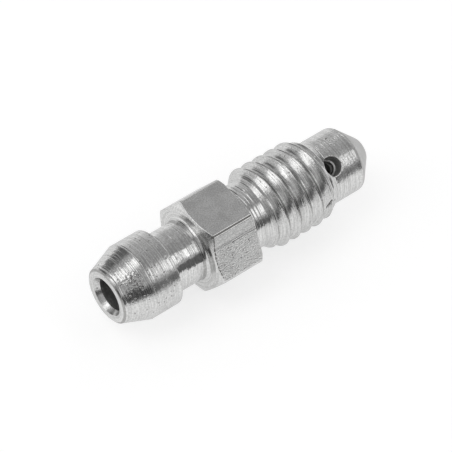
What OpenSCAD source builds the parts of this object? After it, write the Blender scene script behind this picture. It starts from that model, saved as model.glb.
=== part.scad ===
// Bleeder screw for a hydraulic brake: one piece turned from hexagon bar.
// It lies on a flat of its hexagon, with its axis along X and its tip towards +X.
// The origin is under the middle of its length, on the surface that it lies on.

/* [Hose end] */
// Diameter of the end face, before its edge is broken
nose_d = 5.0; // [4.4:0.05:6]
// Width of the broken edge round the end face
nose_edge = 0.12; // [0.05:0.01:0.3]
// Length of the taper that a hose is pushed over
taper_len = 2.65; // [1.5:0.05:5]
// Largest diameter of the hose barb
barb_d = 7.1; // [6.4:0.05:7.6]
// Length of the parallel land behind the taper
barb_land = 2.8; // [1:0.05:5]
// Radius of the land's rear edge
barb_round = 0.12; // [0.05:0.01:0.4]
// Diameter of the neck
neck_d = 5.65; // [5:0.05:6.2]
// Length of the neck, from the barb to the hexagon
neck_len = 3.35; // [1:0.05:8]
// Radius between the neck and the hexagon's front face
neck_fillet = 0.3; // [0.1:0.05:0.5]

/* [Hexagon] */
// Width across the flats
hex_af = 8.0; // [7.9:0.05:10]
// Length of the hexagon, from face to face
hex_len = 4.7; // [3:0.1:8]
// How far the bar's corners are blunted
hex_blunt = 0.08; // [0.02:0.01:0.15]
// Angle of the chamfers, from the faces
hex_chamfer = 30; // [15:1:40]
// Diameter at which the front chamfer starts
hex_front_d = 7.6; // [7.2:0.05:8.9]
// Diameter at which the rear chamfer starts
hex_rear_d = 8.5; // [8.1:0.05:8.9]

/* [Thread] */
// Outside diameter of the thread
thread_d = 7.9; // [7.5:0.05:8.2]
// Advance in one turn
thread_pitch = 1.25; // [0.75:0.05:1.5]
// Length with full crests
thread_len = 5.25; // [4:0.05:12]
// Depth of the groove
thread_depth = 0.68; // [0.4:0.01:0.8]
// Included angle of the groove
thread_angle = 60; // [55:1:62]
// Turn of the thread about the axis
thread_turn = 219; // [0:1:359]
// Diameter of the undercut behind the hexagon
relief_d = 6.2; // [5.4:0.05:6.4]
// Length of the undercut's floor
relief_len = 2.0; // [1.4:0.05:3]
// Radius at the undercut's shoulder
relief_fillet = 0.25; // [0.1:0.01:0.5]
// Angle of the run-out at the undercut, from the axis
runout_angle = 45; // [30:1:60]
// Angle of the lead chamfer, from the axis
lead_angle = 31; // [25:1:45]

/* [Tip] */
// Diameter of the plain end past the thread
dog_d = 6.2; // [5.4:0.05:6.4]
// Length of the plain end
dog_len = 3.1; // [2.6:0.05:6]
// Included angle of the sealing cone
seat_angle = 90; // [60:1:100]
// Diameter of the cone's small end
seat_flat_d = 2.3; // [1:0.05:3]
// Radius of the cone's large edge
seat_edge = 0.45; // [0.1:0.01:0.6]
// Radius of the cone's small edge
seat_round = 0.5; // [0.1:0.01:0.6]

/* [Passages] */
// Diameter of the mouth at the end face
mouth_d = 3.55; // [3.2:0.05:4]
// Depth of the mouth's bevel
mouth_depth = 0.5; // [0.2:0.05:1]
// Diameter of the bore in the hose end
bore_d = 3.1; // [2.4:0.05:3.15]
// Depth of the bore in the hose end
bore_depth = 9.5; // [4:0.1:12]
// Diameter of the narrow bore
duct_d = 2.2; // [1.6:0.05:2.3]
// Distance from the tip to the end of the narrow bore, at its full diameter
duct_stop = 3.6; // [2.8:0.05:5]
// Included angle of the drill points
drill_angle = 118; // [90:1:140]
// Diameter of the cross hole
cross_d = 1.8; // [1.2:0.05:2]
// Distance from the tip to the cross hole
cross_from_tip = 4.8; // [4:0.05:5.2]
// Lean of the cross hole from upright
cross_lean = 29.5; // [0:0.5:359.5]

/* [Hidden] */
steel = "silver";
// Steps round an arc, and in one turn of the thread
arc_steps = 96;
turn_steps = 48;
// How far a hole's cutter stands out of the surface that it opens
overlap = 1;
// How far the flats' and the groove's cutters stand clear of what they cut
clearance = 0.08;

// Distances from the hose end's face
barb_start = taper_len;
barb_end = barb_start + barb_land;
hex_start = barb_end + neck_len;
hex_end = hex_start + hex_len;
corner_r = hex_af / 2 / cos(30) - hex_blunt;
front_top = hex_start + (corner_r - hex_front_d / 2) * tan(hex_chamfer);
rear_top = hex_end - (corner_r - hex_rear_d / 2) * tan(hex_chamfer);
relief_end = hex_end + relief_len;
crest_start = relief_end + (thread_d - relief_d) / 2 / tan(runout_angle);
crest_end = crest_start + thread_len;
dog_start = crest_end + (thread_d - dog_d) / 2 / tan(lead_angle);
dog_end = dog_start + dog_len;
tip = dog_end + (dog_d - seat_flat_d) / 2 / tan(seat_angle / 2);

// The groove's section, measured from its middle
root_r = thread_d / 2 - thread_depth;
flank = tan(thread_angle / 2);
crest_flat = thread_pitch / 8;
groove_top = (thread_pitch - crest_flat) / 2 + clearance * flank;
groove_root = groove_top - (thread_depth + clearance) * flank;
groove_start = relief_end - groove_top - clearance;
groove_turns = (dog_start + groove_root + clearance - groove_start) / thread_pitch;
groove_rings = ceil(groove_turns * turn_steps);

// The turned outline: radius, then distance from the hose end's face
taper_slope = (barb_d - nose_d) / 2 / taper_len;
barb_corner = [barb_d / 2, barb_end];
neck_corner = [neck_d / 2, hex_start];
relief_corner = [relief_d / 2, hex_end];
seat_corner = [dog_d / 2, dog_end];
tip_corner = [seat_flat_d / 2, tip];
outline = [
    [0, 0],
    [nose_d / 2 - nose_edge, 0],
    [nose_d / 2 + nose_edge * taper_slope, nose_edge],
    [barb_d / 2, barb_start],
    barb_corner,
    [neck_d / 2, barb_end],
    neck_corner,
    [hex_front_d / 2, hex_start],
    [corner_r, front_top],
    [corner_r, rear_top],
    [hex_rear_d / 2, hex_end],
    relief_corner,
    [relief_d / 2, relief_end],
    [thread_d / 2, crest_start],
    [thread_d / 2, crest_end],
    [dog_d / 2, dog_start],
    seat_corner,
    tip_corner,
    [0, tip],
];

function unit(v) = v / norm(v);

// The web between a corner and an arc that touches both of its sides
module corner_web(before, corner, after, radius) {
    u = unit(before - corner);
    v = unit(after - corner);
    half = acos(u * v) / 2;
    reach = radius / tan(half);
    centre = corner + unit(u + v) * radius / sin(half);
    difference() {
        polygon([corner, corner + u * reach, centre, corner + v * reach]);
        translate(centre)
            circle(r = radius, $fn = arc_steps);
    }
}

module turned_section() {
    difference() {
        union() {
            polygon(outline);
            corner_web([neck_d / 2, barb_end], neck_corner, [hex_front_d / 2, hex_start], neck_fillet);
            corner_web([hex_rear_d / 2, hex_end], relief_corner, [relief_d / 2, relief_end], relief_fillet);
        }
        corner_web([barb_d / 2, barb_start], barb_corner, [neck_d / 2, barb_end], barb_round);
        corner_web([dog_d / 2, dog_start], seat_corner, tip_corner, seat_edge);
        corner_web(seat_corner, tip_corner, [0, tip], seat_round);
    }
}

module turned_blank() {
    rotate_extrude($fn = arc_steps)
        turned_section();
}

// Six cuts that leave the hexagon, with a flat towards local +X
module flats() {
    for (side = [0 : 5])
        rotate(side * 60)
            translate([hex_af / 2, -corner_r, hex_start - clearance])
                cube([corner_r, 2 * corner_r, hex_len + 2 * clearance]);
}

// One ring of the groove's section: root edges, then top edges
function groove_ring(step) =
    let (
        turned = 360 * step / turn_steps,
        along = groove_start + thread_pitch * step / turn_steps,
        top_r = thread_d / 2 + clearance
    )
    [for (p = [[root_r, -groove_root], [root_r, groove_root], [top_r, groove_top], [top_r, -groove_top]])
        [p.x * cos(turned + thread_turn), p.x * sin(turned + thread_turn), along + p.y]];

// The helical groove, from over the undercut to past the lead chamfer
module thread_groove() {
    points = [for (step = [0 : groove_rings]) each groove_ring(step)];
    last = 4 * groove_rings;
    sides = [for (step = [0 : groove_rings - 1], side = [0 : 3])
        let (
            a = 4 * step + side,
            b = 4 * step + (side + 1) % 4
        )
        each [[a, b + 4, b], [a, a + 4, b + 4]]];
    caps = [[0, 2, 3], [0, 1, 2], [last, last + 2, last + 1], [last, last + 3, last + 2]];
    polyhedron(points = points, faces = concat(sides, caps), convexity = 12);
}

// A drilled hole along local +Z that ends in a drill point
module drilled(d, depth) {
    rotate_extrude($fn = arc_steps)
        polygon([[0, 0], [d / 2, 0], [d / 2, depth], [0, depth + d / 2 / tan(drill_angle / 2)]]);
}

module axial_passage() {
    mouth_slope = (mouth_d - bore_d) / 2 / mouth_depth;
    translate([0, 0, -overlap])
        cylinder(h = overlap + mouth_depth, d1 = mouth_d + 2 * overlap * mouth_slope, d2 = bore_d, $fn = arc_steps);
    drilled(bore_d, bore_depth);
    drilled(duct_d, tip - duct_stop);
}

module cross_passage() {
    rotate(180 + cross_lean)
        translate([0, 0, tip - cross_from_tip])
            rotate([0, 90, 0])
                cylinder(h = dog_d / 2 + overlap, d = cross_d, $fn = arc_steps);
}

module bleeder_screw() {
    color(steel)
        translate([-tip / 2, 0, hex_af / 2])
            rotate([0, 90, 0])
                difference() {
                    turned_blank();
                    flats();
                    thread_groove();
                    axial_passage();
                    cross_passage();
                }
}

bleeder_screw();
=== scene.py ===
"""A turned steel bleeder screw on a pale floor: its surface, its light and the camera."""

import math
from collections import namedtuple

import bpy
import numpy as np
from mathutils import Matrix, Vector


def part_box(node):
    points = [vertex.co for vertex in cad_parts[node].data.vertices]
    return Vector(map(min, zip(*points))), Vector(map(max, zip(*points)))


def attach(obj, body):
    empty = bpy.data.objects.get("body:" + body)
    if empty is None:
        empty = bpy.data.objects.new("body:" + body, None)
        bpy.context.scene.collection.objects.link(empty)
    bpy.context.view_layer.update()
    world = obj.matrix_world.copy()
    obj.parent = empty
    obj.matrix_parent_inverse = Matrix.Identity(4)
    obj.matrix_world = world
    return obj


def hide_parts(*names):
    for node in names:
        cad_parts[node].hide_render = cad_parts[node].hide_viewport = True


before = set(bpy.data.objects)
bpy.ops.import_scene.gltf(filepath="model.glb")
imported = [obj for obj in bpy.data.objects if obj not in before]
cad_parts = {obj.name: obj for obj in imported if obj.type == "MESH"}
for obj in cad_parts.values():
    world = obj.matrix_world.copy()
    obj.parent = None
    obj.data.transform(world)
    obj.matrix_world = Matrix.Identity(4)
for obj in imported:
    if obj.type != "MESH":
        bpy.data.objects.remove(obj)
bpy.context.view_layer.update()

MM = 0.001
TINY = 1e-6

# The screw's sizes are in millimetres: distances run from the hose end's face, radii from the axis

# Hose end and neck: first the taper's small end, the end face's rim and the broken edge between them
NOSE_R = 2.55
NOSE_FACE_R = 2.42
NOSE_EDGE = 0.13
BARB_START = 2.65
BARB_END = 5.45
BARB_R = 3.55
BARB_ROUND = 0.1
BARB_FOOT = 0.08
TAPER_SLOPE = (BARB_R - NOSE_R) / BARB_START
NECK_R = 2.825
NECK_FILLET = 0.3

# Hexagon and undercut
HEX_HALF = 4.0
HEX_CORNER_R = 4.535
HEX_START = 8.8
HEX_END = 13.5
CHAMFER_SLOPE = math.tan(math.radians(30))
FRONT_CHAMFER_R = 3.8
REAR_CHAMFER_R = 4.25
# The least width of the rear chamfer, which breaks the flats' rear edges
REAR_EDGE = 0.07
RELIEF_R = 3.1
RELIEF_END = 15.5
RELIEF_FILLET = 0.25

# Thread
THREAD_R = 3.95
ROOT_R = 3.42
PITCH = 1.25
CREST_START = RELIEF_END + THREAD_R - RELIEF_R
CREST_END = 21.6
LEAD_SLOPE = math.tan(math.radians(31))
# A place where the middle of the groove crosses the top of the screw
GROOVE_AT_TOP = 18.46
# Half the width of the rounded groove at the crests
GROOVE_HALF = 0.57
# How far the bottom of the groove lies from its middle, towards the hose end
GROOVE_LEAN = 0.1
# How far from the middle of the groove the crests begin
CREST_FROM = 0.56
# The fold that rolling left along the middle of the crests, and the least radius that the blank has there
FOLD_HALF = 0.04
FOLD_DEPTH = 0.06
FOLD_FROM_R = THREAD_R - 0.3

# Plain end and sealing cone, whose sides rise at 45 degrees
DOG_R = 3.1
DOG_LENGTH = 3.1
DOG_START = CREST_END + (THREAD_R - DOG_R) / LEAD_SLOPE
DOG_END = DOG_START + DOG_LENGTH
SEAT_FLAT_R = 1.15
SEAT_EDGE = 0.45
SEAT_ROUND = 0.5
# How far the tip stays inside the solid's own
TIP_SHORT = 0.0001
TIP = DOG_END + DOG_R - SEAT_FLAT_R - TIP_SHORT
# The last ring round the tip's middle, and where the cone's finish, which is darkened as painted shade,
# begins, in its rounded edge
TIP_RING_R = 0.12
SEAT_FROM = DOG_END - 0.1

# Passages
MOUTH_R = 1.83
MOUTH_DEPTH = 0.5
BORE_R = 1.55
BORE_END = 9.5
DUCT_R = 1.1
DUCT_STOP = 3.6
DUCT_END = TIP - DUCT_STOP
DRILL_SLOPE = math.tan(math.radians(59))
DUCT_START = BORE_END + (BORE_R - DUCT_R) / DRILL_SLOPE
CROSS_R = 0.9
CROSS_FROM_TIP = 4.8
CROSS_AT = TIP - CROSS_FROM_TIP
CROSS_LEAN = math.radians(29.5)
# The rounded rim of the cross hole, and the edge where it breaks into the narrow bore
CROSS_RIM = 0.06
CROSS_FOOT = 0.02
# A ridge in the cross hole: how far it stands in from the wall, at heights over the narrow bore's surface
HOLE_LIP = [(0.01, 0.85), (0.03, 0.84), (0.14, 0.77), (0.15, 0.7), (0.12, 0.3), (0.08, -0.02)]

# Roundings of the turned edges, and of the kinks in the blank that the thread is cut into
FINE_EDGE = 0.03
FACE_EDGE = 0.04
EDGE = 0.05
RUNOUT_ROUND = 0.1
BLANK_ROUND = 0.06
DOG_ROUND = 0.05
CREST_ROUND = 0.02

# The tool's deeper ring marks, on the taper, the land and the undercut
RING_HALF = 0.045
RING_DEPTH = 0.03
TAPER_MARK = 0.36
LAND_MARK = BARB_START + 0.14
RELIEF_MARKS = [HEX_END + 0.7, HEX_END + 1.02, HEX_END + 1.36]

# The places of wear, and of the painted shade, are in degrees from the top, which rise on the near side, and
# in distances

# The nick in the thread's end, the lip that it raised, and a pit in the plain end
NICK_FROM, NICK_TO = (86, 21.45), (71, 21.75)
LIP_FROM, LIP_TO = (73, 21.98), (71, 22.05)
NICK_WIDTH = 0.06
NICK_DEPTH = 0.15
LIP_HEIGHT = 0.05
PIT_AT = (-19, 24.58)
PIT_WIDTH = 0.09
PIT_DEPTH = 0.07
# The share of a nick's or a pit's depth from which its floor is painted dark, as shade in the hollow
DARK_NICK = 0.7
DARK_PIT = 0.5

# The torn patch on the taper: its middle, how far it is full and where it ends, its tears' depth and size
TORN_AT = (28, 1.45)
TORN_CORE = 0.45
TORN_REACH = 1.05
TORN_DEPTH = 0.1
TORN_SIZE = 0.2

# The strip of painted shade along the near upper corner: its middle and half its width, in degrees
STRIP_AT = 30
STRIP_HALF = 1.2
# The stretch of the near lower flat's front edge that is painted dark as shade, in degrees, and how wide the
# painted shade is
SHADE_FROM = 31
SHADE_TO = 86
SHADE_WIDTH = 0.06
# A wave breaks the painted shade's line up: its radians in a degree, and the level over which the line is
# whole
SHADE_WAVE = 1.3
SHADE_OVER = -0.4

# The scratch along the near lower flat: its height, where it begins, and where above it the flat is smooth
SCRATCH_Z = 6.83
SCRATCH_START = 10.8
SMOOTH_OVER = 0.2

# The mesh's columns run along the screw, in six sectors with a corner of the hexagon in the middle of each
SECTOR = 44
COLUMNS = 6 * SECTOR
# The narrow bore has one column to this many
DUCT_SHARE = 3
DUCT_COLUMNS = COLUMNS // DUCT_SHARE
# Degrees from the middle of a flat: columns are even up to the first value, and then stand at the others
EVEN_TO = 27.8
NEAR_CORNER = [28.11, 28.5, 28.9, 29.3, 29.65, 30]
# Stretches over which the columns draw together before the hexagon and spread out again behind it
DRAW_IN = [6, 8.3]
SPREAD_OUT = [13.6, 15.1]
# How far from a straight stretch's ends its outer rows stand, and the largest share of it that this takes
HOLD = 0.03
HOLD_SHARE = 0.2
# The largest share of a side that the rounding of one corner takes
ARC_SHARE = 0.45

# The stretch whose rows follow the thread
ZONE_START = 15.2
ZONE_END = 24.7
# Offsets from the middle of the groove at which each turn has a row
TURN_ROWS = [-0.59, -0.555, -0.5, -0.44, -0.38, -0.31, -0.24, -0.17, -0.11, -0.04]
TURN_ROWS += [-offset for offset in TURN_ROWS[::-1]] + [PITCH / 2]
PER_TURN = len(TURN_ROWS)
# A point as close as this to the end of the stretch is left to the ring there
SNAP = 0.012

# The cross hole's surround: the columns and rows that it takes up, and the rings that fill it
PATCH_COLUMNS = 36
PATCH_ROWS = 39
OUTER_RINGS = 5
INNER_RINGS = 4
# Steps round the hole's rim and down its wall
RIM_STEPS = 4
WALL_STEPS = 8
# Rounds in which a rim's angles settle on a surface that isn't round
SETTLE_ROUNDS = 8
# The surround's first and last ring in the narrow bore, from the hole's axis, and the bore's other rings
PATCH_FROM = 1.14
PATCH_TO = 1.16
DUCT_RINGS = [21.4, 20, 18, 16, 14, 12, 10.5]

# Play with which a place counts as on an edge, and how far the hexagon's faced ends reach along it
NEARLY = 0.01
FRONT_FACE = 0.2
REAR_FACE = 0.1

# Edges that turn by more than this are shaded sharp
SHARP_ANGLE = math.radians(40)

low_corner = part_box("bleeder_screw")[0]
START_X = low_corner[0] / MM
AXIS_Z = low_corner[2] / MM + HEX_HALF

# Directions at the cross hole: out along its axis, across it, and along the screw
HOLE_OUT = np.array([0, -math.sin(CROSS_LEAN), math.cos(CROSS_LEAN)])
HOLE_ACROSS = np.array([0, -math.cos(CROSS_LEAN), -math.sin(CROSS_LEAN)])
SCREW_ALONG = np.array([1.0, 0, 0])

# The finishes' numbers, which are those of their material slots
# PAINTED_SHADE is a dark steel that paints shade on the hexagon's edges and in the nick and the pit
TAPERED, BARBED, NECKED, FACED, DRAWN, PAINTED_SHADE, RELIEVED, THREADED = range(8)
CRESTED, PLAIN, SEATED, BORED, DRILLED, BURRED, BEVELLED, EDGED = range(8, 16)

# A corner of an outline: its place, its rounding, the steps round that, and the rows from it to the next
Corner = namedtuple("Corner", "s r rounding steps rows", defaults=(0, 0, 0))


class Skin:
    """Collects the points and faces of the one closed surface."""

    def __init__(self):
        self.points = []
        self.faces = []
        self.kinds = []

    def add(self, theta, s, r):
        """Adds points at angle theta from the top, distance s and radius r, and returns their numbers."""
        theta, s, r = np.broadcast_arrays(theta, s, r)
        x = START_X + s
        y = -r * np.sin(theta)
        z = AXIS_Z + r * np.cos(theta)
        return self.add_points(np.stack([x, y, z], axis=1))

    def add_points(self, xyz):
        """Adds points given as x, y and z, and returns their numbers."""
        first = sum(len(block) for block in self.points)
        self.points.append(xyz)
        return np.arange(first, first + len(xyz))

    def face(self, corners, kind):
        """Adds a face, and leaves out a corner that repeats the one before it."""
        kept = [c for k, c in enumerate(corners) if c != corners[k - 1]]
        if len(kept) > 2:
            self.faces.append(kept)
            self.kinds.append(kind)

    def band(self, lower, upper, kind):
        """Joins two closed rings of as many points."""
        count = len(lower)
        for k in range(count):
            n = (k + 1) % count
            self.face([lower[k], lower[n], upper[n], upper[k]], kind)


def even_angles(count):
    return -math.pi + 2 * math.pi * np.arange(count) / count


def hexagon_angles():
    """Angles of the columns that stand closer together near each corner of the hexagon."""
    even = np.linspace(0, EVEN_TO, SECTOR // 2 + 1 - len(NEAR_CORNER))
    half = np.concatenate([even, NEAR_CORNER])
    sector = np.concatenate([half, 60 - half[-2:0:-1]])
    return np.radians(np.concatenate([60 * k + sector for k in range(6)]) - 180)


def hexagon_radius(theta):
    """Distance from the axis to the hexagon's side, with its corners cut off along a thin strip."""
    off_flat = np.abs((np.degrees(theta) + 30) % 60 - 30)
    return np.minimum(HEX_HALF / np.cos(np.radians(off_flat)), HEX_CORNER_R)


def soft_ramp(x, width):
    """Zero below the kink and x above it, with the kink rounded over width to each side."""
    return np.where(x <= -width, 0.0, np.where(x >= width, x, (x + width) ** 2 / (4 * width)))


def off_groove(theta, s):
    """Distance along the axis to the middle of the nearest turn of the groove."""
    turns = (s - GROOVE_AT_TOP) / PITCH - theta / (2 * math.pi)
    return (turns - np.round(turns)) * PITCH


def blank_radius(s):
    """The turned outline over the undercut's end, the thread and the plain end."""
    up = soft_ramp(s - RELIEF_END, RUNOUT_ROUND) - soft_ramp(s - CREST_START, BLANK_ROUND)
    down = soft_ramp(s - CREST_END, BLANK_ROUND) - soft_ramp(s - DOG_START, DOG_ROUND)
    return RELIEF_R + up - down * LEAD_SLOPE


def dent(turned, s, start, end, width):
    """One along a line between two places, and zero away from it."""
    arc = math.radians(1) * THREAD_R
    run = np.array([(end[0] - start[0]) * arc, end[1] - start[1]])
    across = (turned - start[0]) * arc
    along = s - start[1]
    share = np.clip((across * run[0] + along * run[1]) / max(run @ run, TINY), 0, 1)
    apart = np.hypot(across - share * run[0], along - share * run[1])
    return np.exp(-((apart / width) ** 2))


def marks_on_thread(theta, s):
    """A nick with a raised lip across the end of the thread, and a pit in the plain end."""
    turned = np.degrees(theta)
    nick = dent(turned, s, NICK_FROM, NICK_TO, NICK_WIDTH) * NICK_DEPTH
    lip = dent(turned, s, LIP_FROM, LIP_TO, NICK_WIDTH) * LIP_HEIGHT
    pit = dent(turned, s, PIT_AT, PIT_AT, PIT_WIDTH) * PIT_DEPTH
    return lip - nick - pit


def thread_radius(theta, s):
    """The surface's radius where the groove is cut into the blank."""
    blank = blank_radius(s)
    off = off_groove(theta, s)
    from_bottom = off + GROOVE_LEAN
    half = np.where(from_bottom > 0, GROOVE_HALF + GROOVE_LEAN, GROOVE_HALF - GROOVE_LEAN)
    groove = ROOT_R + (THREAD_R - ROOT_R) * (from_bottom / half) ** 2
    off_crest = PITCH / 2 - np.abs(off)
    fold = np.where(blank > FOLD_FROM_R, FOLD_DEPTH * np.maximum(0, 1 - off_crest / FOLD_HALF), 0)
    return blank - soft_ramp(blank - groove, CREST_ROUND) - fold + marks_on_thread(theta, s)


def straight_rows(start, end, count):
    """Rows between two ends, with the outer two close to them."""
    if count == 0:
        return []
    if count == 1:
        return [(start + end) / 2]
    length = np.linalg.norm(end - start, axis=0)
    hold = np.minimum(HOLD / np.maximum(length, TINY), HOLD_SHARE)
    shares = [hold + (1 - 2 * hold) * k / (count - 1) for k in range(count)]
    return [start + (end - start) * share for share in shares]


def arc_rows(before, corner, after, radius, steps):
    """Rows round a corner, on an arc that touches the sides to the corners before and after it."""
    to_before = before - corner
    to_after = after - corner
    before_length = np.linalg.norm(to_before, axis=0)
    after_length = np.linalg.norm(to_after, axis=0)
    u = to_before / before_length
    v = to_after / after_length
    half = np.arccos(np.clip((u * v).sum(axis=0), -1, 1)) / 2
    room = ARC_SHARE * np.minimum(before_length, after_length)
    true_radius = np.minimum(radius / np.tan(half), room) * np.tan(half)
    middle = (u + v) / np.linalg.norm(u + v, axis=0)
    centre = corner + middle * true_radius / np.sin(half)
    apart = np.linalg.norm(v - u, axis=0)
    sweep = math.pi - 2 * half
    rows = []
    for step in range(steps + 1):
        angle = sweep * (step / steps - 0.5)
        outward = np.sin(angle) * (v - u) / apart - np.cos(angle) * middle
        rows.append(centre + outward * true_radius)
    return rows


def rounded_outline(corners):
    """Rows of (s, r) along a line of corners, each row with a place for every column."""
    at = [np.stack(np.broadcast_arrays(c.s, c.r, np.zeros(COLUMNS))[:2]).astype(float) for c in corners]
    rows = [at[0]]
    for k in range(1, len(corners)):
        corner = corners[k]
        arc = [at[k]]
        if corner.rounding:
            arc = arc_rows(at[k - 1], at[k], at[k + 1], corner.rounding, corner.steps)
        rows += straight_rows(rows[-1], arc[0], corners[k - 1].rows)
        rows += arc
    return rows


def ring_mark(s, r, slope=0.0, rows=3):
    """Corners of a fine groove that the tool left round a cylinder or a taper."""
    rise = RING_HALF * slope
    return [
        Corner(s - RING_HALF, r - rise),
        Corner(s, r - RING_DEPTH),
        Corner(s + RING_HALF, r + rise, rows=rows),
    ]


def front_corners(radius):
    """The outline from the narrow bore to the undercut, with the hexagon's radius in each column."""
    front_top = HEX_START + (radius - FRONT_CHAMFER_R) * CHAMFER_SLOPE
    rear_width = np.maximum(radius - REAR_CHAMFER_R, REAR_EDGE)
    return [
        Corner(DUCT_START, DUCT_R, rows=1),
        Corner(BORE_END, BORE_R, rows=8),
        Corner(MOUTH_DEPTH, BORE_R, FINE_EDGE, steps=2, rows=2),
        Corner(0, MOUTH_R, EDGE, steps=3, rows=2),
        Corner(0, NOSE_FACE_R, FINE_EDGE, steps=2, rows=1),
        Corner(NOSE_EDGE, NOSE_R + NOSE_EDGE * TAPER_SLOPE, FINE_EDGE, steps=2, rows=1),
        *ring_mark(TAPER_MARK, NOSE_R + TAPER_MARK * TAPER_SLOPE, TAPER_SLOPE, rows=7),
        Corner(BARB_START, BARB_R, EDGE, steps=2, rows=8),
        *ring_mark(LAND_MARK, BARB_R),
        Corner(BARB_END, BARB_R, BARB_ROUND, steps=4, rows=3),
        Corner(BARB_END, NECK_R, BARB_FOOT, steps=3, rows=9),
        Corner(HEX_START, NECK_R, NECK_FILLET, steps=5, rows=4),
        Corner(HEX_START, FRONT_CHAMFER_R, FACE_EDGE, steps=3, rows=4),
        Corner(front_top, radius, EDGE, steps=4, rows=10),
        Corner(HEX_END - rear_width * CHAMFER_SLOPE, radius, EDGE, steps=4, rows=2),
        Corner(HEX_END, radius - rear_width, EDGE, steps=3, rows=3),
        Corner(HEX_END, RELIEF_R, RELIEF_FILLET, steps=4, rows=6),
        *[corner for s in RELIEF_MARKS for corner in ring_mark(s, RELIEF_R)],
        Corner(ZONE_START, RELIEF_R),
    ]


def tip_corners():
    """The outline of the plain end, the sealing cone and the tip's flat."""
    return [
        Corner(ZONE_END, DOG_R, rows=4),
        Corner(DOG_END, DOG_R, SEAT_EDGE, steps=6, rows=6),
        Corner(TIP, SEAT_FLAT_R, SEAT_ROUND, steps=6, rows=3),
        Corner(TIP, TIP_RING_R),
    ]


def front_kind(s, r):
    """The finish of each band from the bore to the undercut."""
    if r < MOUTH_R and s > NEARLY:
        return BEVELLED if s < MOUTH_DEPTH else BORED
    if s < NOSE_EDGE:
        return EDGED if r > NOSE_FACE_R else FACED
    if s < BARB_START:
        return TAPERED
    if s < BARB_END - NEARLY:
        return BARBED
    if s < HEX_START - NECK_FILLET:
        return NECKED
    if HEX_START + FRONT_FACE < s < HEX_END - REAR_FACE and r > HEX_HALF:
        return DRAWN
    if s > HEX_END + REAR_FACE:
        return RELIEVED
    return FACED


def thread_kind(theta, s):
    """The finish of each face between the undercut and the plain end."""
    off = np.abs(off_groove(theta, s))
    kind = np.where(off > CREST_FROM, CRESTED, THREADED)
    kind = np.where(s < RELIEF_END - RUNOUT_ROUND, RELIEVED, kind)
    kind = np.where(s > DOG_START + DOG_ROUND, PLAIN, kind)
    # The floors of the nick and the pit take the dark steel, as painted shade in the hollows
    nicked = dent(np.degrees(theta), s, NICK_FROM, NICK_TO, NICK_WIDTH) > DARK_NICK
    pitted = dent(np.degrees(theta), s, PIT_AT, PIT_AT, PIT_WIDTH) > DARK_PIT
    return np.where(nicked | pitted, PAINTED_SHADE, kind)


def tip_kind(s, r):
    """The finish of each band from the plain end to the tip."""
    return PLAIN if s < SEAT_FROM else SEATED


def add_rows(skin, rows, angles, kind_of):
    """Adds rings for rows of (s, r), each with its own column angles, and joins them."""
    rings = [skin.add(theta, row[0], row[1]) for row, theta in zip(rows, angles)]
    for k in range(len(rings) - 1):
        s = float(rows[k][0].mean() + rows[k + 1][0].mean()) / 2
        r = float(rows[k][1].mean() + rows[k + 1][1].mean()) / 2
        skin.band(rings[k], rings[k + 1], kind_of(s, r))
    return rings


def front_angles(rows):
    """The columns' angles in each row: even, but crowded to the corners along the hexagon's outside."""
    even = even_angles(COLUMNS)
    crowded = hexagon_angles()
    angles = []
    for row in rows:
        s = row[0].mean()
        near = min(np.interp(s, DRAW_IN, [0, 1]), np.interp(s, SPREAD_OUT, [1, 0]))
        if row[1].mean() < MOUTH_R:
            near = 0
        angles.append(even + (crowded - even) * near)
    return angles


def duct_radius(theta, s):
    return DUCT_R + 0 * s


def patch_column(columns):
    """The first column of the cross hole's surround, out of so many."""
    return int(round((CROSS_LEAN + math.pi) / (2 * math.pi) * columns)) - PATCH_COLUMNS // 2


def turn_starts():
    """Where the rows that follow the thread stand in the first column."""
    first = math.floor((ZONE_START - PITCH - GROOVE_AT_TOP) / PITCH) - 1
    last = math.ceil((ZONE_END - GROOVE_AT_TOP) / PITCH) + 1
    turns = [GROOVE_AT_TOP + PITCH * (turn - 0.5) for turn in range(first, last)]
    starts = [turn + offset for turn in turns for offset in TURN_ROWS]
    while starts[1] + PITCH <= ZONE_START:
        starts.pop(0)
    return starts


def helical_zone(skin, start_ring, end_ring):
    """Rows that follow the thread, from one ring to another, with the cross hole's surround left open.

    A row that leaves the zone goes on along the ring there. Returns the boundary of the open surround.
    """
    starts = turn_starts()
    theta = even_angles(COLUMNS)
    count = len(starts)
    # The number of the point, and its distance, in each column and row
    number = np.full((COLUMNS + 1, count + PER_TURN), -1)
    place = np.zeros((COLUMNS, count))
    for j, start in enumerate(starts):
        s = start + PITCH * np.arange(COLUMNS) / COLUMNS
        place[:, j] = s
        free = (s > ZONE_START + SNAP) & (s < ZONE_END - SNAP)
        number[:COLUMNS, j] = np.where(s <= ZONE_START + SNAP, start_ring, end_ring)
        if free.any():
            added = skin.add(theta[free], s[free], thread_radius(theta[free], s[free]))
            number[:COLUMNS, j][free] = added
    number[:COLUMNS, count:] = end_ring[:, None]
    # Once round, a row goes on as the one that is a turn further along
    number[COLUMNS, :count] = number[0, PER_TURN:]
    face_s = place + (TURN_ROWS[1] - TURN_ROWS[0]) / 2
    kind = thread_kind(theta[:, None] + math.pi / COLUMNS, face_s)
    column = patch_column(COLUMNS)
    row = int(np.argmin(np.abs(place[column + PATCH_COLUMNS // 2] - CROSS_AT))) - PATCH_ROWS // 2
    for j in range(count - 1):
        for i in range(COLUMNS):
            in_patch = column <= i < column + PATCH_COLUMNS and row <= j < row + PATCH_ROWS
            if not in_patch:
                corners = [number[i, j], number[i + 1, j], number[i + 1, j + 1], number[i, j + 1]]
                skin.face(corners, kind[i, j])
    return rectangle_loop(lambda i, j: number[i, j], column, row)


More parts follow.
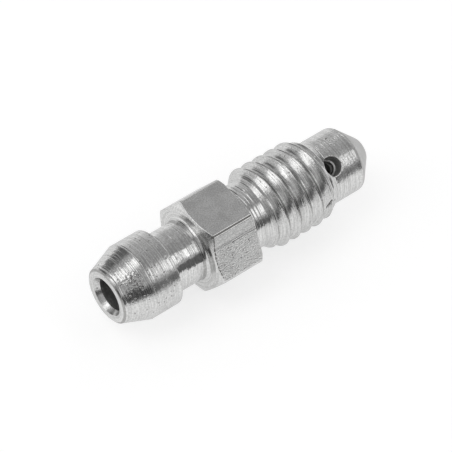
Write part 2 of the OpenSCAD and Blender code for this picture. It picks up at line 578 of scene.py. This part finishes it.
def rectangle_loop(number, column, row):
    """The points round the surround's block of the grid, with the angle rising along its first side."""
    across = range(PATCH_COLUMNS)
    along = range(PATCH_ROWS)
    loop = [number(column + k, row) for k in across]
    loop += [number(column + PATCH_COLUMNS, row + k) for k in along]
    loop += [number(column + PATCH_COLUMNS - k, row + PATCH_ROWS) for k in across]
    loop += [number(column, row + PATCH_ROWS - k) for k in along]
    return np.array(loop)


def loop_places(skin, loop):
    """Angle from the cross hole's axis, and distance along the screw, of each point of a loop."""
    xyz = np.concatenate(skin.points)[loop]
    theta = np.arctan2(-xyz[:, 1], xyz[:, 2] - AXIS_Z)
    return theta - CROSS_LEAN, xyz[:, 0] - START_X


def surround(skin, loop, radius_at, rim, rings):
    """Rings from a rectangular loop in to a round hole's rim, outermost first, and their points' angles."""
    turned, s = loop_places(skin, loop)
    lateral = radius_at(turned + CROSS_LEAN, s) * np.sin(turned)
    phi = np.arctan2(s - CROSS_AT, lateral)
    rim_s = CROSS_AT + rim * np.sin(phi)
    rim_turned = np.arcsin(rim * np.cos(phi) / DOG_R)
    for _ in range(SETTLE_ROUNDS):
        rim_r = radius_at(rim_turned + CROSS_LEAN, rim_s)
        rim_turned = np.arcsin(rim * np.cos(phi) / rim_r)
    made = [loop]
    for k in range(1, rings + 1):
        share = k / rings
        ring_turned = turned + (rim_turned - turned) * share
        ring_s = s + (rim_s - s) * share
        ring_r = radius_at(ring_turned + CROSS_LEAN, ring_s)
        made.append(skin.add(ring_turned + CROSS_LEAN, ring_s, ring_r))
    return made, phi


def hole_points(height, phi, radius):
    """Points at heights along the cross hole's axis, a distance from it and angles round it."""
    centre = np.array([START_X + CROSS_AT, 0, AXIS_Z])
    across = HOLE_ACROSS * (radius * np.cos(phi))[:, None]
    along = SCREW_ALONG * (radius * np.sin(phi))[:, None]
    return centre + HOLE_OUT * height[:, None] + across + along


def narrow_bore(skin, wide_ring):
    """The narrow bore, from its drill point to the wide one, with the cross hole's surround left open.

    Returns the boundary of the open surround.
    """
    theta = even_angles(DUCT_COLUMNS)
    apex = skin.add(np.zeros(1), np.full(1, DUCT_END + DUCT_R / DRILL_SLOPE), np.zeros(1))[0]
    patch = np.linspace(CROSS_AT + PATCH_FROM, CROSS_AT - PATCH_TO, PATCH_ROWS + 1)
    rings = [skin.add(theta, s, DUCT_R) for s in np.concatenate([[DUCT_END], patch, DUCT_RINGS])]
    column = patch_column(DUCT_COLUMNS)
    for i in range(DUCT_COLUMNS):
        n = (i + 1) % DUCT_COLUMNS
        skin.face([rings[0][i], apex, rings[0][n]], BORED)
        for k in range(len(rings) - 1):
            in_patch = column <= i < column + PATCH_COLUMNS and 1 <= k < 1 + PATCH_ROWS
            if not in_patch:
                skin.face([rings[k][i], rings[k][n], rings[k + 1][n], rings[k + 1][i]], BORED)
        wide = [wide_ring[(DUCT_SHARE * i + step) % COLUMNS] for step in range(DUCT_SHARE, -1, -1)]
        skin.face([rings[-1][i], rings[-1][n]] + wide, BORED)
    last = 1 + PATCH_ROWS
    return rectangle_loop(lambda i, j: rings[last - j][i], column, 0)


def cross_hole(skin, outer_loop, inner_loop):
    """The cross hole: its surround outside, its rim, its wall with the ridge, and its surround inside."""
    outside, outer_phi = surround(skin, outer_loop, thread_radius, CROSS_R + CROSS_RIM, OUTER_RINGS)
    inside, inner_phi = surround(skin, inner_loop, duct_radius, CROSS_R + CROSS_FOOT, INNER_RINGS)
    for a, b in zip(outside, outside[1:]):
        skin.band(a, b, PLAIN)
    points = np.concatenate(skin.points)
    axis = np.array([0, 0, AXIS_Z])
    top = (points[outside[-1]] - axis) @ HOLE_OUT
    bottom = (points[inside[-1]] - axis) @ HOLE_OUT
    rings = []
    for k in range(1, RIM_STEPS + 1):
        turn = k / RIM_STEPS * math.pi / 2
        height = top - CROSS_RIM * (1 - math.cos(turn))
        rings.append((height, outer_phi, CROSS_R + CROSS_RIM * (1 - math.sin(turn)), PLAIN))
    swing = (inner_phi - outer_phi + math.pi) % (2 * math.pi) - math.pi
    for k in range(1, WALL_STEPS + 1):
        share = k / WALL_STEPS
        height = (top - CROSS_RIM) * (1 - share) + (bottom + HOLE_LIP[0][1]) * share
        rings.append((height, outer_phi + swing * share, CROSS_R, DRILLED))
    for inward, up in HOLE_LIP:
        rings.append((bottom + up, inner_phi, CROSS_R - inward, BURRED))
    ring = outside[-1]
    for height, phi, radius, kind in rings:
        new = skin.add_points(hole_points(height, phi, radius))
        skin.band(ring, new, kind)
        ring = new
    for new in inside[::-1]:
        skin.band(ring, new, DRILLED)
        ring = new


def build_skin():
    """The whole surface, closed from the drill point out round the screw to the tip."""
    skin = Skin()
    rows = rounded_outline(front_corners(hexagon_radius(hexagon_angles())))
    rings = add_rows(skin, rows, front_angles(rows), front_kind)
    inner_loop = narrow_bore(skin, rings[0])
    end_rows = rounded_outline(tip_corners())
    end_rings = add_rows(skin, end_rows, [even_angles(COLUMNS)] * len(end_rows), tip_kind)
    centre = skin.add(np.zeros(1), np.full(1, TIP), np.zeros(1))[0]
    for k in range(COLUMNS):
        skin.face([end_rings[-1][k], end_rings[-1][(k + 1) % COLUMNS], centre], SEATED)
    outer_loop = helical_zone(skin, rings[-1], end_rings[0])
    cross_hole(skin, outer_loop, inner_loop)
    return skin


def on_front_edge(corners):
    """Whether a face lies wholly along the hexagon's front edge."""
    x, y, z = corners.T
    height = z - AXIS_Z
    flat = hexagon_radius(np.arctan2(-y, height))
    past = x - START_X - HEX_START - (flat - FRONT_CHAMFER_R) * CHAMFER_SLOPE
    return np.hypot(past, np.hypot(y, height) - flat).max() < SHADE_WIDTH


def paint_edge_shade(skin, points):
    """Paints shade on the strip along the near upper corner, and on the front edge below it, with the dark
    finish.
    """
    for number, face in enumerate(skin.faces):
        if skin.kinds[number] not in (DRAWN, FACED):
            continue
        middle = points[face].mean(axis=0)
        turned = math.degrees(math.atan2(-middle[1], middle[2] - AXIS_Z))
        on_strip = skin.kinds[number] == DRAWN and abs(turned - STRIP_AT) < STRIP_HALF
        whole = math.sin(turned * SHADE_WAVE) > SHADE_OVER
        if on_strip or (SHADE_FROM < turned < SHADE_TO and whole and on_front_edge(points[face])):
            skin.kinds[number] = PAINTED_SHADE


def add_object(name, data):
    """Puts a mesh, a lamp or a camera in the scene as an object."""
    thing = bpy.data.objects.new(name, data)
    bpy.context.scene.collection.objects.link(thing)
    return thing


def make_screw(finishes):
    """The screw's surface as one mesh, with each finish in the material slot of its number."""
    skin = build_skin()
    points = np.concatenate(skin.points)
    paint_edge_shade(skin, points)
    used = np.unique(np.concatenate([np.array(face) for face in skin.faces]))
    renumbered = np.zeros(len(points), dtype=int)
    renumbered[used] = np.arange(len(used))
    faces = [renumbered[np.array(face)].tolist() for face in skin.faces]
    mesh = bpy.data.meshes.new("screw_finish")
    mesh.from_pydata((points[used] * MM).tolist(), [], faces)
    for number in sorted(finishes):
        mesh.materials.append(finishes[number])
    mesh.polygons.foreach_set("material_index", skin.kinds)
    mesh.polygons.foreach_set("use_smooth", [True] * len(skin.faces))
    mesh.update()
    mesh.set_sharp_from_angle(angle=SHARP_ANGLE)
    return add_object("screw_finish", mesh)


# Colours of the steel, of a stain on it, which also paints shade where a finish is darkened for it, and of
# what it reflects at a glancing angle
STEEL_DARK = (0.53, 0.53, 0.525, 1)
STEEL_LIGHT = (0.73, 0.73, 0.725, 1)
STAIN_AND_SHADE_COLOUR = (0.16, 0.155, 0.15, 1)
EDGE_TINT = (0.85, 0.85, 0.85, 1)

# Sizes in the turned finishes, in millimetres: changes of tone, tears in the grain, and the pits' cells
TURNED_PATCH = 1.3
TEAR_SIZE = 0.16
PIT_CELL = 0.26
# How slowly the tool's rings change round the axis
RING_FOLLOW = 0.035
# The broad rings' width and depth, against the fine ones'
BROAD_WIDTH = 3.2
BROAD_DEPTH = 1.2
# Where in the changes of tone the rings fade and the torn grain comes up, and from which share to which
RINGS_FADE = (0.32, 0.62, 1.0, 0.4)
GRAIN_RISE = (0.46, 0.62, 0.15, 1.0)
# The noise over which the steel goes from smooth to rough, from dark to light, and into a fleck
ROUGH_RANGE = (0.7, 1.3)
TONE_RANGE = (0.75, 1.25)
FLECK_RANGE = (0.55, 0.62)
# How far the roughness swings to each side
ROUGH_SWING = 0.2
# The least and the most of its cell that a pit reaches over, and the share of its reach at which it fades
PIT_REACH = (0.14, 0.32)
PIT_FADE = (0.7, 1.2)
# How deep and how dark a pit is, and how dark a fleck in the torn patch
PIT_SHARE = 0.6
FLECK_SHARE = 0.7

# Sizes in the drawn finish, in millimetres: its grain, marks along the bar, changes of tone, and pock cells
GRAIN_SIZE = 0.1
DRAWN_SIZE = 0.25
DRAWN_PATCH = 1.1
POCK_CELL = 0.27
# How far the scratch wavers, and its half width where it is deepest and where it ends
SCRATCH_WAVER = 0.02
SCRATCH_CORE = 0.01
SCRATCH_HALF = 0.06
# How slowly the bar's marks change along it, and how deep they, a pock and the scratch are against the grain
DRAWN_STRETCH = (0.1, 1, 1)
DRAWN_SHARE = 0.14
POCK_SHARE = 0.5
SCRATCH_SHARE = 0.8
# How dark a pock or the scratch is, and the share of the cells that have a pock
MARK_SHARE = 0.7
POCKED = 0.5
# The middle of a noise's range, and the noise over which the bar goes from dark to light
NOISE_MIDDLE = (0.3, 0.7)
DRAWN_TONE_RANGE = (0.6, 0.9)
# How much the broad changes of tone add to that noise
DRAWN_PATCH_SHARE = 0.5
# The share of the grain and the pocks that is left above the scratch
RUBBED_SHARE = 0.2
# How far the roughness swings to each side
DRAWN_SWING = 0.05


def grey(level):
    return (level, level, level, 1)


class Graph:
    """Builds a material's nodes. An input takes a number, a colour or another node's output."""

    def __init__(self, name):
        self.material = bpy.data.materials.new(name)
        self.material.use_nodes = True
        self.tree = self.material.node_tree
        self.shader = self.tree.nodes["Principled BSDF"]

    def feed(self, socket, value):
        if isinstance(value, bpy.types.NodeSocket):
            self.tree.links.new(value, socket)
        else:
            socket.default_value = value

    def add(self, kind, inputs, **settings):
        node = self.tree.nodes.new(kind)
        for key, value in settings.items():
            setattr(node, key, value)
        for key, value in inputs.items():
            self.feed(node.inputs[key], value)
        return node

    def math(self, operation, a, b=0.0, c=0.0):
        return self.add("ShaderNodeMath", {0: a, 1: b, 2: c}, operation=operation).outputs[0]

    def plus(self, a, b):
        return self.math("ADD", a, b)

    def minus(self, a, b):
        return self.math("SUBTRACT", a, b)

    def times(self, a, b):
        return self.math("MULTIPLY", a, b)

    def larger(self, a, b):
        return self.math("MAXIMUM", a, b)

    def noise(self, vector, size, detail=2.0, roughness=0.5):
        """Noise from 0 to 1 with features of about the given size in metres."""
        inputs = {"Vector": vector, "Scale": 1 / size, "Detail": detail, "Roughness": roughness}
        return self.add("ShaderNodeTexNoise", inputs).outputs["Fac"]

    def spread(self, value, low, high, to_low=0.0, to_high=1.0):
        """Maps the range from low to high onto another, and holds its ends."""
        inputs = {"Value": value, "From Min": low, "From Max": high, "To Min": to_low, "To Max": to_high}
        return self.add("ShaderNodeMapRange", inputs).outputs["Result"]

    def blend(self, share, first, second):
        """The first colour where share is zero and the second where it is one."""
        mix = self.add("ShaderNodeMix", {"Factor": share}, data_type="RGBA")
        self.feed(mix.inputs["A"], first)
        self.feed(mix.inputs["B"], second)
        return mix.outputs["Result"]

    def split(self, vector):
        return self.add("ShaderNodeSeparateXYZ", {"Vector": vector}).outputs

    def object_place(self):
        return self.add("ShaderNodeTexCoord", {}).outputs["Object"]

    def set(self, name, value):
        self.feed(self.shader.inputs[name], value)

    def set_bump(self, height, depth):
        """Raises the surface by height times depth, which is in metres."""
        bump = self.add("ShaderNodeBump", {"Height": height, "Distance": depth, "Strength": 1.0})
        self.set("Normal", bump.outputs["Normal"])


def tool_mark_coordinates(graph, place):
    """Coordinates that change fast along the outline and slowly round the axis, so noise becomes rings."""
    split = graph.split(place)
    height = graph.minus(split["Z"], AXIS_Z * MM)
    square = graph.plus(graph.times(split["Y"], split["Y"]), graph.times(height, height))
    along = graph.plus(split["X"], graph.math("SQRT", square))
    across = graph.times(split["Y"], RING_FOLLOW)
    up = graph.times(height, RING_FOLLOW)
    return graph.add("ShaderNodeCombineXYZ", {"X": along, "Y": across, "Z": up}).outputs[0]


def specks(graph, place, size, share):
    """Small round pits, in a share of the cells: one inside a pit and zero around it."""
    cells = graph.add("ShaderNodeTexVoronoi", {"Vector": place, "Scale": 1 / size}).outputs
    chance = graph.add("ShaderNodeSeparateColor", {"Color": cells["Color"]}).outputs
    reach = graph.spread(chance["Green"], 0.0, 1.0, *PIT_REACH)
    inside = graph.spread(graph.math("DIVIDE", cells["Distance"], reach), *PIT_FADE, 1.0, 0.0)
    return graph.times(inside, graph.math("LESS_THAN", chance["Red"], share))


def torn_patch(graph, place):
    """One in the middle of the torn patch on the taper, fading to zero round it."""
    turned, s = math.radians(TORN_AT[0]), TORN_AT[1]
    radius = NOSE_R + s * TAPER_SLOPE
    middle = Vector((START_X + s, -radius * math.sin(turned), AXIS_Z + radius * math.cos(turned))) * MM
    off = graph.add("ShaderNodeVectorMath", {0: place, 1: middle}, operation="DISTANCE").outputs["Value"]
    return graph.spread(off, TORN_CORE * MM, TORN_REACH * MM, 1.0, 0.0)


def bare_steel(graph, tone, roughness, stain_and_shade, metallic=1.0):
    """Bare steel whose colour runs between two greys with tone, and goes dark where stain_and_shade is one:
    stains, and painted shade.
    """
    bare = graph.blend(tone, STEEL_DARK, STEEL_LIGHT)
    graph.set("Base Color", graph.blend(stain_and_shade, bare, STAIN_AND_SHADE_COLOUR))
    graph.set("Metallic", metallic)
    graph.set("Roughness", roughness)
    graph.set("Specular Tint", EDGE_TINT)


def turned_metal(
    name, roughness, lines, spacing, grain, pits=0.05, dull_and_shade=0.0, anisotropic=0.3, metallic=1.0, patch=False
):
    """Bright steel with a turning tool's fine rings, a torn grain and small pits.

    Lines and grain are depths and spacing is the rings' width, in millimetres. Pits is the share of the
    cells that have one, dull_and_shade is how much darker than bare steel it is, which is a duller finish on
    some and painted shade on others, and patch adds the torn patch.
    """
    graph = Graph(name)
    place = graph.object_place()
    rings = tool_mark_coordinates(graph, place)
    fine = graph.noise(rings, spacing * MM, detail=0.6)
    broad = graph.noise(rings, spacing * MM * BROAD_WIDTH, detail=1)
    patches = graph.noise(place, TURNED_PATCH * MM, detail=2)
    torn = graph.noise(place, TEAR_SIZE * MM, detail=1.5)
    line_share = graph.spread(patches, *RINGS_FADE)
    grain_share = graph.spread(patches, *GRAIN_RISE)
    marks = graph.times(graph.plus(fine, graph.times(broad, BROAD_DEPTH)), line_share)
    tearing = graph.times(graph.times(torn, grain_share), grain / lines)
    if patch:
        worn = torn_patch(graph, place)
        chatter = graph.noise(place, TORN_SIZE * MM, detail=1)
        tearing = graph.plus(tearing, graph.times(graph.times(chatter, worn), TORN_DEPTH / lines))
    pitted = specks(graph, place, PIT_CELL * MM, pits)
    height = graph.minus(graph.plus(marks, tearing), graph.times(pitted, PIT_SHARE))
    graph.set_bump(height, lines * MM)
    swing = (roughness * (1 - ROUGH_SWING), roughness * (1 + ROUGH_SWING))
    rough = graph.spread(graph.plus(broad, patches), *ROUGH_RANGE, *swing)
    stain_and_shade = graph.larger(graph.times(pitted, PIT_SHARE), dull_and_shade)
    if patch:
        flecks = graph.times(graph.spread(chatter, *FLECK_RANGE), worn)
        stain_and_shade = graph.larger(stain_and_shade, graph.times(flecks, FLECK_SHARE))
    tone = graph.spread(graph.plus(fine, torn), *TONE_RANGE)
    bare_steel(graph, tone, rough, stain_and_shade, metallic)
    graph.set("Anisotropic", anisotropic)
    tangent = graph.add("ShaderNodeTangent", {}, direction_type="RADIAL", axis="X")
    graph.set("Tangent", tangent.outputs[0])
    return graph.material


def drawn_metal(name, roughness, depth, dull_and_shade=0.0):
    """The bar's own drawn surface: finely pocked, with faint marks along it. Depth is in millimetres.

    It is rubbed smooth above the height of the scratch, which runs along the near side.
    """
    graph = Graph(name)
    place = graph.object_place()
    split = graph.split(place)
    stretch = graph.add("ShaderNodeVectorMath", {0: place, 1: DRAWN_STRETCH}, operation="MULTIPLY")
    grain = graph.noise(place, GRAIN_SIZE * MM, detail=1, roughness=0.6)
    drawn = graph.noise(stretch.outputs[0], DRAWN_SIZE * MM, detail=1)
    patches = graph.noise(place, DRAWN_PATCH * MM, detail=2)
    waver = graph.spread(drawn, *NOISE_MIDDLE, -SCRATCH_WAVER * MM, SCRATCH_WAVER * MM)
    wavy = graph.plus(split["Z"], waver)
    rough_share = graph.spread(wavy, SCRATCH_Z * MM, (SCRATCH_Z + SMOOTH_OVER) * MM, 1.0, RUBBED_SHARE)
    pocked = graph.times(specks(graph, place, POCK_CELL * MM, POCKED), rough_share)
    off = graph.math("ABSOLUTE", graph.minus(wavy, SCRATCH_Z * MM))
    begun = graph.math("GREATER_THAN", split["X"], (START_X + SCRATCH_START) * MM)
    near = graph.math("LESS_THAN", split["Y"], 0.0)
    scratched = graph.times(begun, near)
    scratch = graph.times(graph.spread(off, SCRATCH_CORE * MM, SCRATCH_HALF * MM, 1.0, 0.0), scratched)
    marks = graph.times(graph.plus(grain, graph.times(pocked, -POCK_SHARE)), rough_share)
    height = graph.plus(marks, graph.times(drawn, DRAWN_SHARE))
    height = graph.minus(height, graph.times(scratch, SCRATCH_SHARE))
    graph.set_bump(height, depth * MM)
    marked = graph.times(graph.larger(pocked, graph.times(scratch, SCRATCH_SHARE)), MARK_SHARE)
    tone = graph.spread(graph.plus(grain, graph.times(patches, DRAWN_PATCH_SHARE)), *DRAWN_TONE_RANGE)
    swing = (roughness * (1 - DRAWN_SWING), roughness * (1 + DRAWN_SWING))
    rough = graph.spread(patches, *NOISE_MIDDLE, *swing)
    bare_steel(graph, tone, rough, graph.larger(marked, dull_and_shade))
    return graph.material


def make_finishes():
    """The finishes' materials: a turned one's numbers are its roughness, lines, spacing and grain."""
    return {
        TAPERED: turned_metal("tapered_steel", 0.2, 0.034, 0.11, 0.016, pits=0.3, patch=True),
        BARBED: turned_metal("barb_steel", 0.24, 0.024, 0.11, 0.014, pits=0.3),
        NECKED: turned_metal("neck_steel", 0.12, 0.034, 0.1, 0.003, pits=0.02),
        FACED: turned_metal("faced_steel", 0.22, 0.008, 0.1, 0.005, pits=0.04),
        DRAWN: drawn_metal("drawn_steel", 0.22, depth=0.017),
        # Painted shade: dark steel for the strip along the near upper corner, the near front edge and the
        # floors of the nick and the pit
        PAINTED_SHADE: drawn_metal("painted_shade_steel", 0.4, depth=0.02, dull_and_shade=0.9),
        RELIEVED: turned_metal("relieved_steel", 0.17, 0.032, 0.15, 0.008, pits=0.01),
        THREADED: turned_metal("threaded_steel", 0.24, 0.024, 0.08, 0.018, pits=0.1, dull_and_shade=0.05),
        CRESTED: turned_metal("crest_steel", 0.18, 0.01, 0.08, 0.008, pits=0.06),
        PLAIN: turned_metal("plain_steel", 0.22, 0.018, 0.13, 0.026, pits=0.08),
        # The sealing cone's steel is darkened as painted shade, for the dimmer floor that it reflects near
        # the screw
        SEATED: turned_metal("seat_steel", 0.34, 0.006, 0.1, 0.008, dull_and_shade=0.3),
        BORED: turned_metal("bored_steel", 0.34, 0.012, 0.12, 0.008, anisotropic=0.0),
        DRILLED: turned_metal(
            "drilled_steel", 0.4, 0.012, 0.12, 0.008, dull_and_shade=0.25, anisotropic=0.0, metallic=0.75
        ),
        BURRED: turned_metal("burred_steel", 0.25, 0.006, 0.12, 0.008, anisotropic=0.0),
        BEVELLED: turned_metal("bevelled_steel", 0.27, 0.012, 0.12, 0.012, anisotropic=0.0),
        # The nose's broken edge is darkened as painted shade along the rim
        EDGED: turned_metal("edge_steel", 0.3, 0.01, 0.1, 0.01, dull_and_shade=0.5),
    }


# The floor's size in metres, its grey and its roughness
FLOOR_SIZE = 3.0
FLOOR_TONE = 0.45
FLOOR_ROUGHNESS = 0.9
# How much of the floor's white is its own, so that it keeps the shadow but still looks white
FLOOR_GLOW = 0.67
# The room's brightness at heights on the unit sphere
ROOM_LEVELS = [(0.0, 0.78), (0.3, 0.58), (0.6, 0.5), (0.8, 0.48), (0.87, 0.37), (1.0, 0.33)]

# Where the camera stands, in millimetres, its line of sight, the way up in the picture, and its lens
CAMERA_PLACE = (-91.0432, -85.6369, 169.2986)
CAMERA_FORWARD = (0.43520, 0.41445, -0.79927)
CAMERA_UP = (0.45503, 0.66477, 0.59247)
CAMERA_LENS = 190.95
SENSOR_WIDTH = 36
# The nearest that the camera shows, in metres
CLIP_START = 0.005


def make_plane(name, width, height):
    mesh = bpy.data.meshes.new(name)
    w, h = width / 2, height / 2
    mesh.from_pydata([(-w, -h, 0), (w, -h, 0), (w, h, 0), (-w, h, 0)], [], [(0, 1, 2, 3)])
    return add_object(name, mesh)


def matt_graph(name, tone, roughness):
    """A matt grey material."""
    graph = Graph(name)
    graph.set("Base Color", grey(tone))
    graph.set("Roughness", roughness)
    graph.set("Specular IOR Level", 0.0)
    return graph


def make_floor():
    """A floor that takes the screw's shadow, and glows for the camera and for what reflects it."""
    floor = make_plane("floor", FLOOR_SIZE, FLOOR_SIZE)
    graph = matt_graph("floor", FLOOR_TONE, FLOOR_ROUGHNESS)
    rays = graph.add("ShaderNodeLightPath", {}).outputs
    seen = graph.larger(rays["Is Camera Ray"], rays["Is Glossy Ray"])
    seen = graph.larger(seen, rays["Is Transmission Ray"])
    graph.set("Emission Color", grey(1))
    graph.set("Emission Strength", graph.times(seen, FLOOR_GLOW))
    floor.data.materials.append(graph.material)


def make_world():
    """An even grey room, lighter towards the horizon."""
    world = bpy.data.worlds.new("studio")
    bpy.context.scene.world = world
    world.use_nodes = True
    nodes, links = world.node_tree.nodes, world.node_tree.links
    background = nodes["Background"]
    place = nodes.new("ShaderNodeTexCoord")
    split = nodes.new("ShaderNodeSeparateXYZ")
    ramp = nodes.new("ShaderNodeValToRGB")
    links.new(place.outputs["Generated"], split.inputs[0])
    links.new(split.outputs["Z"], ramp.inputs["Fac"])
    links.new(ramp.outputs["Color"], background.inputs["Color"])
    elements = ramp.color_ramp.elements
    while len(elements) < len(ROOM_LEVELS):
        elements.new(0.5)
    for element, (height, level) in zip(elements, ROOM_LEVELS):
        element.position = height
        element.color = grey(level)
    background.inputs["Strength"].default_value = 1


def put(thing, place, right, up, back):
    """Puts an object at a place, with its own x, y and z along three directions."""
    turn = Matrix((right, up, back)).transposed()
    thing.matrix_world = Matrix.Translation(place) @ turn.to_4x4()


def aim(thing, place, along=(0, 0, 1)):
    """Puts an object at an azimuth and an elevation in degrees, and a distance from the screw in metres.

    It faces the screw, and its height lies along a given line.
    """
    azimuth, elevation, distance = place
    a, e = math.radians(azimuth), math.radians(elevation)
    out = Vector((math.cos(e) * math.cos(a), math.cos(e) * math.sin(a), math.sin(e)))
    height = Vector(along)
    height = (height - out * height.dot(out)).normalized()
    put(thing, out * distance, height.cross(out), height, out)


def make_lamp(name, place, size, radiance, along=(0, 0, 1), glossy=True, diffuse=1.0):
    """A soft rectangular lamp of the given brightness."""
    width, height = size
    lamp = bpy.data.lights.new(name, "AREA")
    lamp.shape = "RECTANGLE"
    lamp.size = width
    lamp.size_y = height
    lamp.energy = radiance * width * height * math.pi
    lamp.diffuse_factor = diffuse
    holder = add_object(name, lamp)
    aim(holder, place, along)
    holder.visible_camera = False
    holder.visible_glossy = glossy


def make_card(name, place, size, tone):
    """A card that only the metal's reflections show."""
    card = make_plane(name, *size)
    aim(card, place)
    card.data.materials.append(matt_graph(name, tone, roughness=1.0).material)
    card.visible_camera = False
    card.visible_shadow = False
    card.visible_diffuse = False


def make_lamps():
    """Three lamps that the metal reflects, and a broad one overhead that it doesn't.

    Each has its azimuth, elevation and distance, its width and height in metres, and its brightness.
    """
    make_lamp("left_lamp", (157, 42, 0.4), (0.2, 0.58), 1.2, along=(0.63, -0.16, 0.75))
    make_lamp("right_lamp", (-50, 48, 0.4), (0.1, 0.2), 1.0, along=(0, 0.833, 0.553))
    make_lamp("fill_lamp", (0, 90, 0.6), (0.8, 0.8), 0.3, glossy=False)
    make_lamp("back_lamp", (28, 27, 0.4), (0.3, 0.1), 1.0, diffuse=0.0)


def make_cards():
    """Cards round the screw that leave dark shapes in its reflections.

    Each has its azimuth, elevation and distance, its width and height in metres, and its tone.
    """
    make_card("back_card", (24, 3, 0.4), (0.3, 0.09), 0.12)
    make_card("right_card", (-85, 14.5, 0.4), (0.6, 0.2), 0.26)
    make_card("near_right_card", (-113, 15, 0.35), (0.16, 0.22), 0.1)
    make_card("near_card", (-150, 8, 0.38), (0.34, 0.16), 0.12)
    make_card("left_card", (100, 24, 0.4), (0.2, 0.3), 0.24)
    make_card("low_card", (-167, 4, 0.08), (0.06, 0.03), 0.03)
    make_card("low_left_card", (143, 1.5, 0.4), (0.25, 0.05), 0.08)


def make_camera():
    data = bpy.data.cameras.new("camera")
    data.sensor_width = SENSOR_WIDTH
    data.lens = CAMERA_LENS
    data.clip_start = CLIP_START
    camera = add_object("camera", data)
    forward = Vector(CAMERA_FORWARD)
    right = forward.cross(Vector(CAMERA_UP)).normalized()
    up = right.cross(forward).normalized()
    put(camera, Vector(CAMERA_PLACE) * MM, right, up, -forward)
    bpy.context.scene.camera = camera


bpy.context.scene.view_settings.view_transform = "Standard"
make_world()
make_floor()
make_lamps()
make_cards()
make_camera()

screw = make_screw(make_finishes())
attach(screw, "root")
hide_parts("bleeder_screw")
